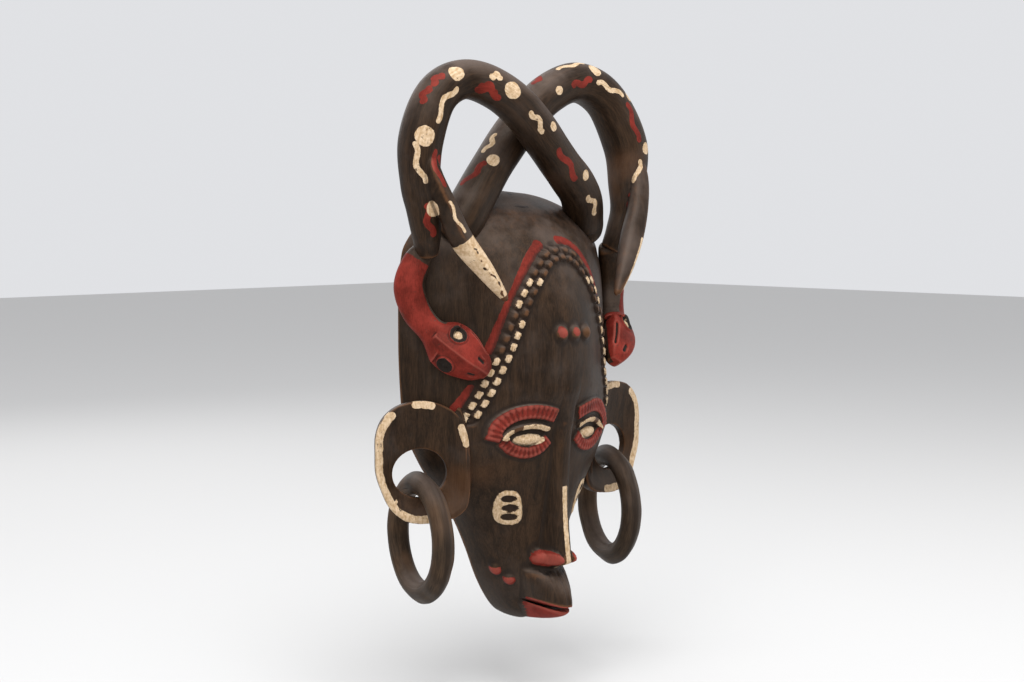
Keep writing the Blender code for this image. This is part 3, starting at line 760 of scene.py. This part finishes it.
def head_faces(outer_count, inner_count):
    """Faces of the two skins, their fans at the poles, and the rim that joins them."""
    rows, wide, narrow = ROWS - 1, COLUMNS + 1, INNER_COLUMNS + 1
    faces = grid_faces(rows, wide)
    faces += [f[::-1] for f in grid_faces(rows, narrow, start=outer_count)]
    pole = outer_count + inner_count
    for start, columns, top, flip in ((0, wide, pole, False), (outer_count, narrow, pole + 2, True)):
        last = start + (rows - 1) * columns
        for j in range(columns - 1):
            pair = [(start + j, start + j + 1, top), (last + j + 1, last + j, top + 1)]
            faces += [f[::-1] if flip else f for f in pair]
    for column, flip in ((0, False), (-1, True)):
        outside = [pole] + [r * wide + column % wide for r in range(rows)] + [pole + 1]
        inside = [outer_count + r * narrow + column % narrow for r in range(rows)]
        inside = [pole + 2] + inside + [pole + 3]
        for r in range(rows + 1):
            quad = (outside[r], inside[r], inside[r + 1], outside[r + 1])
            faces.append(quad[::-1] if flip else quad)
    return faces


def mouth_bumps(obj, points, outer_count, red):
    """Two bumps pushed out beside each mouth corner, with their red paint."""
    push = np.zeros(len(points))
    for x, y, z, size in MOUTH_BUMPS:
        away = np.column_stack([np.abs(points[:, 0]) - x, points[:, 1] - y, points[:, 2] - z])
        reach = np.linalg.norm(away, axis=1)
        push += 3.6 * bump(reach, size) ** 0.8
        red = np.maximum(red, np.minimum(size * 0.86 - reach, 1.8 - away[:, 2]))
    push[outer_count:] = 0
    points = points + normals(obj) * push[:, None]
    set_coordinates(obj, points)
    return points, red


def red_lines(x, z, flat):
    """The red lines along the outside of the braid band."""
    mirrored = np.column_stack([np.abs(x), z])
    left = np.where(x[:, None] < 8, mirrored, FAR_AWAY)
    line = 4.3 - near_path(left, fine(RED_LINE, 20))[0]
    line = np.maximum(line, 3.4 - near_path(flat, fine(RED_LINE_TOP, 20))[0])
    line = np.maximum(line, 3.6 - near_path(mirrored, fine(RED_STUB, 6))[0])
    return np.minimum(line, near_path(mirrored, BAND_LINE)[0] - 7.0)


def make_head():
    outer, inner, poles = head_skins()
    points = np.vstack([outer, inner, poles])
    obj = mesh_object("mask_head", points, head_faces(len(outer), len(inner)))
    x, z = points[:, 0], points[:, 2]
    carved = face(x, z)
    red = np.where((z < -330) & (points[:, 1] > -36), UNPAINTED, carved.coats["red"])
    points, red = mouth_bumps(obj, points, len(outer), red)
    red = np.maximum(red, red_lines(x, z, points[:, [0, 2]]))

    y = points[:, 1]
    outside = np.zeros(len(points), bool)
    outside[: len(outer)] = y[: len(outer)] < -4
    coats = (carved.coats["ivory"], red, carved.coats["dark"])
    ivory, red, dark = (np.where(outside, coat, UNPAINTED) for coat in coats)
    # Painted shade: the hanging hole at the top is not cut, only painted as a dark disc.
    hanging_hole_shade = np.where(outside, 2.6 - np.hypot(x, y + 8.5), UNPAINTED)
    shade = np.where(outside, carved.shade, 0.35 * (y < -6))
    finish_piece(obj, "mask_shell", "mask", DARK_WOOD, ivory, red,
                 np.maximum(dark, hanging_hole_shade), shade)


# ---- horns ----
FRONT = np.array((0.0, -1.0, 0.0))


def wavy(skin, a, b, waves_count=1.25, swing=2.0):
    """A wavy stroke on a tube's skin between two (place, angle) points."""
    t = np.linspace(0, 1, 22)
    at, angle = a[0] + (b[0] - a[0]) * t, a[1] + (b[1] - a[1]) * t
    sway = swing * np.sin(2 * math.pi * waves_count * t + 0.6)
    return skin(at, angle, sway)


def tube_skin(path):
    """Points on a tube's skin from places in control points, angles and a sideways shift."""
    def skin(at, angle, shift=0.0):
        at = np.atleast_1d(np.asarray(at, float))
        rows = smooth_path(path, at)
        ahead = smooth_path(path, np.minimum(at + 0.01, len(path) - 1))
        behind = smooth_path(path, np.maximum(at - 0.01, 0))
        along = (ahead - behind)[:, :3]
        along /= np.linalg.norm(along, axis=1)[:, None]
        across = np.cross(along, FRONT)
        across /= np.linalg.norm(across, axis=1)[:, None]
        out = np.cross(across, along)
        a = np.radians(angle) + np.asarray(shift) / rows[:, 3]
        return rows[:, :3] + rows[:, 3, None] * (across * np.cos(a)[:, None] + out * np.sin(a)[:, None])

    return skin


def horn_marks(side, skin, points):
    """Ivory and red dots and wavy strokes along a horn."""
    coats = {coat: np.full(len(points), UNPAINTED) for coat in ("ivory", "red")}
    for coat, place, angle, *more in HORN_MARKS[side]:
        if len(more) == 1:
            away = points - skin(place, angle)[0]
            inside = more[0] - np.linalg.norm(away, axis=1) + 0.5 * waves(points, 9, int(place * 10), 1)
        else:
            inside = 2.3 - near_path(points, wavy(skin, (place, angle), tuple(more)))[0]
        if coat == "red":
            inside = inside + 0.5
        coats[coat] = np.maximum(coats[coat], inside)
    return coats["ivory"], coats["red"]


def tusk_paint(side, tusk, tusk_path, points):
    """The ivory tip, chipped along its crest on the left and only on the outer side on the right."""
    distance, along, _ = near_path(points, tusk[:, :3])
    start = lengths(fine(tusk_path[:4], 40))[-1] + 2
    length = lengths(tusk)
    near = distance < 1.35 * np.interp(along, length, tusk[:, 3]) + 1.2
    paint = np.where(near, np.minimum(along - start, length[-1] - 4 - along), UNPAINTED)
    if side == "left":
        scar = near_path(points, wavy(tube_skin(tusk_path), (3.3, 72), (5.2, 78), 2.0, 1.6))[0]
        return np.minimum(paint, scar - 0.9 - waves(points, 6, 6, 2))
    return np.minimum(paint, points[:, 0] - np.interp(points[:, 2], *tusk[::-1, [2, 0]].T) - 2)


def make_horn(side, horn_path, tusk_path):
    name = "horn_" + side
    path, tusk = fine(horn_path, 620), fine(tusk_path, 160)
    path[:, 3] *= 1 + 0.025 * waves(path[:, :3], 60, 11, 2)
    body = tube(name + "_body", path, 64, FRONT, square=0.93)
    tusk_out = FRONT * 0.9 + (0.45 * np.sign(tusk[0, 0]), 0, 0)
    tip = tube(name + "_tip", tusk, 40, tusk_out, square=1.1, ridge=0.16)
    obj = merged("crossing_" + name, [body, tip], 0.9, 4)
    seat(obj)
    points = coordinates(obj)
    row, angle, _ = round_path(points, path, FRONT)
    angle, radius = np.radians(angle), path[row, 3]
    grain = np.column_stack([radius * np.cos(angle), radius * np.sin(angle), lengths(path)[row] * 0.1])

    ivory, red = horn_marks(side, tube_skin(horn_path), points)
    if side == "left":
        on_tusk = tube_skin(tusk_path)
        ivory = np.maximum(ivory, 1.7 - near_path(points, wavy(on_tusk, (1.95, 70), (2.8, 78), swing=1.2))[0])
        red = np.maximum(red, 2.6 - near_path(points, wavy(on_tusk, (0.2, 82), (1.45, 86), swing=1.4))[0])
    ivory = np.maximum(ivory, tusk_paint(side, tusk, tusk_path, points))
    finish_piece(obj, name, "mask", DARK_WOOD, ivory, red, grain=grain)


# ---- serpents ----
def serpent_parts(path, outward):
    """The neck with a flat top and, from the jaw on, a head with planed faces that meet in a ridge."""
    jaw = int(len(path) * JAW)
    return [tube("serpent_neck", path[: jaw + 25], 56, outward, square=0.72),
            tube("serpent_skull", path[jaw:], 64, outward, square=1.34, ridge=0.3)]


def make_serpent(side):
    sign = -1 if side == "left" else 1
    rows = [(-sign * p[0], *p[1:]) for p in SERPENT]
    path = fine(rows, 300)
    outward = np.array((sign * SERPENT_OUT[0], *SERPENT_OUT[1:]))
    obj = merged("serpent_head_" + side, serpent_parts(path, outward), 0.7, 3)
    points = coordinates(obj)
    row, angle, _ = round_path(points, path, outward)
    place = row / (len(path) - 1) * (len(rows) - 1)
    if sign > 0:
        angle = 180 - angle
        angle = np.where(angle > 180, angle - 360, angle)
    centres, _, across, out = frames(path, outward)

    def on_head(at, toward):
        i = int(at / (len(rows) - 1) * (len(path) - 1))
        a = math.radians(toward if sign < 0 else 180 - toward)
        return centres[i] + across[i] * path[i, 3] * math.cos(a) + out[i] * path[i, 4] * math.sin(a)

    push = np.zeros(len(points))
    dark = np.full(len(points), UNPAINTED)
    ivory = dark.copy()
    for k, eye in enumerate(SERPENT_EYES):
        d = np.linalg.norm(points - on_head(*eye), axis=1)
        push += 1.4 * plateau(d - 6.6, 1.6, 1.3) - 0.8 * bump(d, 6.0) + 1.9 * bump(d, 4.4)
        dark = np.maximum(dark, 7.0 - d)
        if k == 0:
            ivory = np.maximum(ivory, 3.9 - d + 0.6 * waves(points, 5, 9, 1))
    for toward, places, deep, wide, shaded in SERPENT_CUTS:
        d = near_path(points, np.array([on_head(at, toward) for at in places]))[0]
        push -= deep * bump(d, wide)
        # Painted shade: the cut nostrils and mouth are also painted dark.
        dark = np.maximum(dark, shaded - d)
    set_coordinates(obj, points + normals(obj) * push[:, None])
    seat(obj)
    points = coordinates(obj)
    from_crest = np.abs(np.where(angle < -60, angle + 360, angle) - 62)
    reach = np.where(place > HEAD_START, 150.0, 92 - 12 * waves(points, 30, 3, 1))
    red = np.minimum((reach - from_crest) * 0.2, (place - RED_START) * 9)
    finish_piece(obj, "serpent_" + side, "mask", DARK_WOOD, ivory, red, dark,
                 grain=points * (1, 1, 0.2))


# ---- ears and rings ----
def ear_axes(ear):
    side, turn = math.copysign(1, ear[0]), math.radians(ear[3])
    return (np.array(ear[:3]), np.array((side * math.cos(turn), side * math.sin(turn), 0)),
            np.array((math.sin(turn), -math.cos(turn), 0)))


def rounded(section, times):
    """A closed outline with its corners cut a number of times."""
    section = np.array(section, float)
    for _ in range(times):
        after = np.roll(section, -1, axis=0)
        section = np.stack([0.8 * section + 0.2 * after, 0.2 * section + 0.8 * after], 1).reshape(-1, 2)
    return section


def make_ear(side):
    origin, across, front = ear_axes(EARS[side])
    closed = [EAR_OUTLINE[-1], *EAR_OUTLINE, *EAR_OUTLINE[:2]]
    outline = smooth_path(closed, np.linspace(1, len(EAR_OUTLINE) + 1, EAR_SIDES + 1)[:-1])
    cx, cy, hx, hy = EAR_HOLE
    a = np.arctan2((outline[:, 1] - cy) / hy, (outline[:, 0] - cx) / hx)
    rim = np.column_stack([cx + hx * np.cos(a), cy + hy * np.sin(a)])
    section = np.array(EAR_SECTION)
    dense = np.vstack([np.linspace(p, q, 14)[:-1] for p, q in zip(section, np.roll(section, -1, axis=0))])
    loops = []
    for share, forward in dense:
        flat = outline + (rim - outline) * share
        loops.append(origin + across * flat[:, :1] + front * forward + (0, 0, 1) * flat[:, 1:])
    faces = grid_faces(len(dense), EAR_SIDES, ring=True, closed=True)
    plate = mesh_object("ear_plate", np.vstack(loops), faces)
    sign = math.copysign(1, EARS[side][0])
    start = origin + across * -33 + front * -2
    rows = [(start[0] + sign * i, start[1] - b, start[2] + u, w, h) for i, b, u, w, h in EAR_ROOT]
    root = tube("ear_root", fine(rows, 40), 48, np.array((0.0, 0.0, 1.0)))
    obj = merged("pierced_ear_" + side, [plate, root], 0.75, 4)
    seat(obj)
    points = coordinates(obj)
    away = points - origin
    flat = np.column_stack([away @ across, away[:, 2]])
    forward = away @ front
    first = next(k for k, p in enumerate(outline) if abs(p[0] - 27) < 3 and p[1] > 30)
    painted_edge = 0.93 * outline
    arc = np.vstack([painted_edge[first:], painted_edge[:EAR_ARC_END]])
    ivory = 3.2 - near_path(flat, arc)[0] + 0.5 * waves(points, 12, 4, 2)
    for size, *spot in EAR_SPOTS:
        ivory = np.maximum(ivory, size - near_path(flat, np.array(spot, float))[0])
    ivory = np.minimum(ivory, np.minimum(forward - 1.0, 8.5 - near_path(flat, outline)[0]))
    finish_piece(obj, "ear_" + side, "mask", DARK_WOOD, ivory)


def make_ring(side):
    origin, across, front = ear_axes(EARS[side])
    centre = (origin + across * EAR_HOLE[0] + front * BAR_FRONT
              + (0, 0, EAR_HOLE[1] - EAR_HOLE[3] - BAR_DROP + RING_REACH))
    turn = math.radians(RING_TURN[side])
    radial = np.array((math.cos(turn), math.sin(turn), 0))
    axial = np.array((-math.sin(turn), math.cos(turn), 0))
    section = rounded(RING_SECTION, 3)
    angle = np.arange(RING_SIDES) * 2 * math.pi / RING_SIDES
    r, t = np.tile(section[:, 0], RING_SIDES), np.tile(section[:, 1], RING_SIDES)
    a = np.repeat(angle, len(section))
    uneven = 1 + waves(np.column_stack([r * np.sin(a), t, r * np.cos(a)]), 30, RING_SEED[side], 2)
    r = r - 0.45 * uneven * (r > 40)
    t = t * (1 - 0.02 * uneven)
    points = (centre + radial * (r * np.sin(a))[:, None] + axial * t[:, None]
              + np.array((0, 0, 1)) * (r * np.cos(a) - RING_INNER)[:, None])
    faces = grid_faces(RING_SIDES, len(section), ring=True, closed=True)
    obj = mesh_object("loose_ring_" + side, points, faces)
    grain = np.column_stack([r, t, a * 4.4])
    finish_piece(obj, "ear_ring_" + side, "ring_" + side, RING_WOOD, grain=grain)


def make_peg(node, piece):
    """A hidden joint peg; an ear's peg is kept just short of the dished plate in front of it."""
    peg = bpy.data.objects.new("joint_" + node, piece.data.copy())
    peg.matrix_world = piece.matrix_world.copy()
    bpy.context.scene.collection.objects.link(peg)
    peg.data.materials.clear()
    if "ear" in node:
        points = coordinates(peg)
        middle = (points.max(0) + points.min(0)) / 2
        sign = math.copysign(1, (piece.matrix_world @ Vector(middle * MM)).x)
        points[:, 0] -= sign * EAR_PEG_SHORTER * ((points[:, 0] - middle[0]) * sign > 0)
        set_coordinates(peg, points)
    finish_piece(peg, node, "mask", RING_WOOD)


make_head()
make_horn("left", HORN_LEFT, [(-p[0], *p[1:]) for p in TUSK])
make_horn("right", HORN_RIGHT, TUSK)
for side in ("left", "right"):
    make_serpent(side)
    make_ear(side)
    make_ring(side)
for node, piece in list(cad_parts.items()):
    if "_peg_" in node:
        make_peg(node, piece)


# ---- studio ----
def pale_floor():
    """A wide plain floor under the hanging mask."""
    half, below = 6.0, 0.06
    z = CAD_BOX[0].z - below
    mesh = bpy.data.meshes.new("floor")
    corners = [(-half, -half, z), (half, -half, z), (half, half, z), (-half, half, z)]
    mesh.from_pydata(corners, [], [(0, 1, 2, 3)])
    floor = bpy.data.objects.new("floor", mesh)
    bpy.context.scene.collection.objects.link(floor)
    n = Nodes("pale_floor")
    n.shader.inputs["Base Color"].default_value = (0.6, 0.595, 0.585, 1)
    n.shader.inputs["Roughness"].default_value = 0.9
    mesh.materials.append(n.material)


def aimed(name, data, place, toward):
    """A lamp or camera at a place, looking along a direction."""
    obj = bpy.data.objects.new(name, data)
    obj.location = place
    obj.rotation_mode = "QUATERNION"
    obj.rotation_quaternion = toward.to_track_quat("-Z", "Y")
    bpy.context.scene.collection.objects.link(obj)
    return obj


def soft_light(name, place, target, size, power, colour=(1, 1, 1)):
    data = bpy.data.lights.new(name, "AREA")
    data.shape, data.size, data.energy, data.color = "SQUARE", size, power, colour
    aimed(name, data, place, Vector(target) - Vector(place))


def studio():
    bpy.context.scene.view_settings.view_transform = "Standard"
    pale_floor()
    world = bpy.data.worlds.new("studio")
    world.use_nodes = True
    sky = world.node_tree.nodes["Background"].inputs
    sky["Color"].default_value, sky["Strength"].default_value = (0.96, 0.97, 1.0, 1), 0.78
    bpy.context.scene.world = world
    middle = (0, -0.03, -0.12)
    soft_light("sky", (-0.5, -0.7, 1.7), middle, 1.6, 50, (0.97, 0.98, 1.0))
    soft_light("key", (-1.5, -1.2, 0.9), middle, 1.2, 8, (1.0, 0.97, 0.93))
    soft_light("bounce", (1.4, -0.9, 0.1), middle, 1.2, 4, (1.0, 0.97, 0.92))
    soft_light("back", (0.3, 1.6, 0.8), middle, 1.2, 6)


def photo_camera():
    azimuth, elevation, distance = math.radians(-44), math.radians(4.5), 1.42
    target = Vector((0, -0.012, -0.125))
    back = Vector((math.sin(azimuth) * math.cos(elevation), -math.cos(azimuth) * math.cos(elevation),
                   math.sin(elevation)))
    data = bpy.data.cameras.new("camera")
    data.lens, data.sensor_width = 59.77, 36.0
    bpy.context.scene.camera = aimed("camera", data, target + back * distance, -back)


studio()
photo_camera()
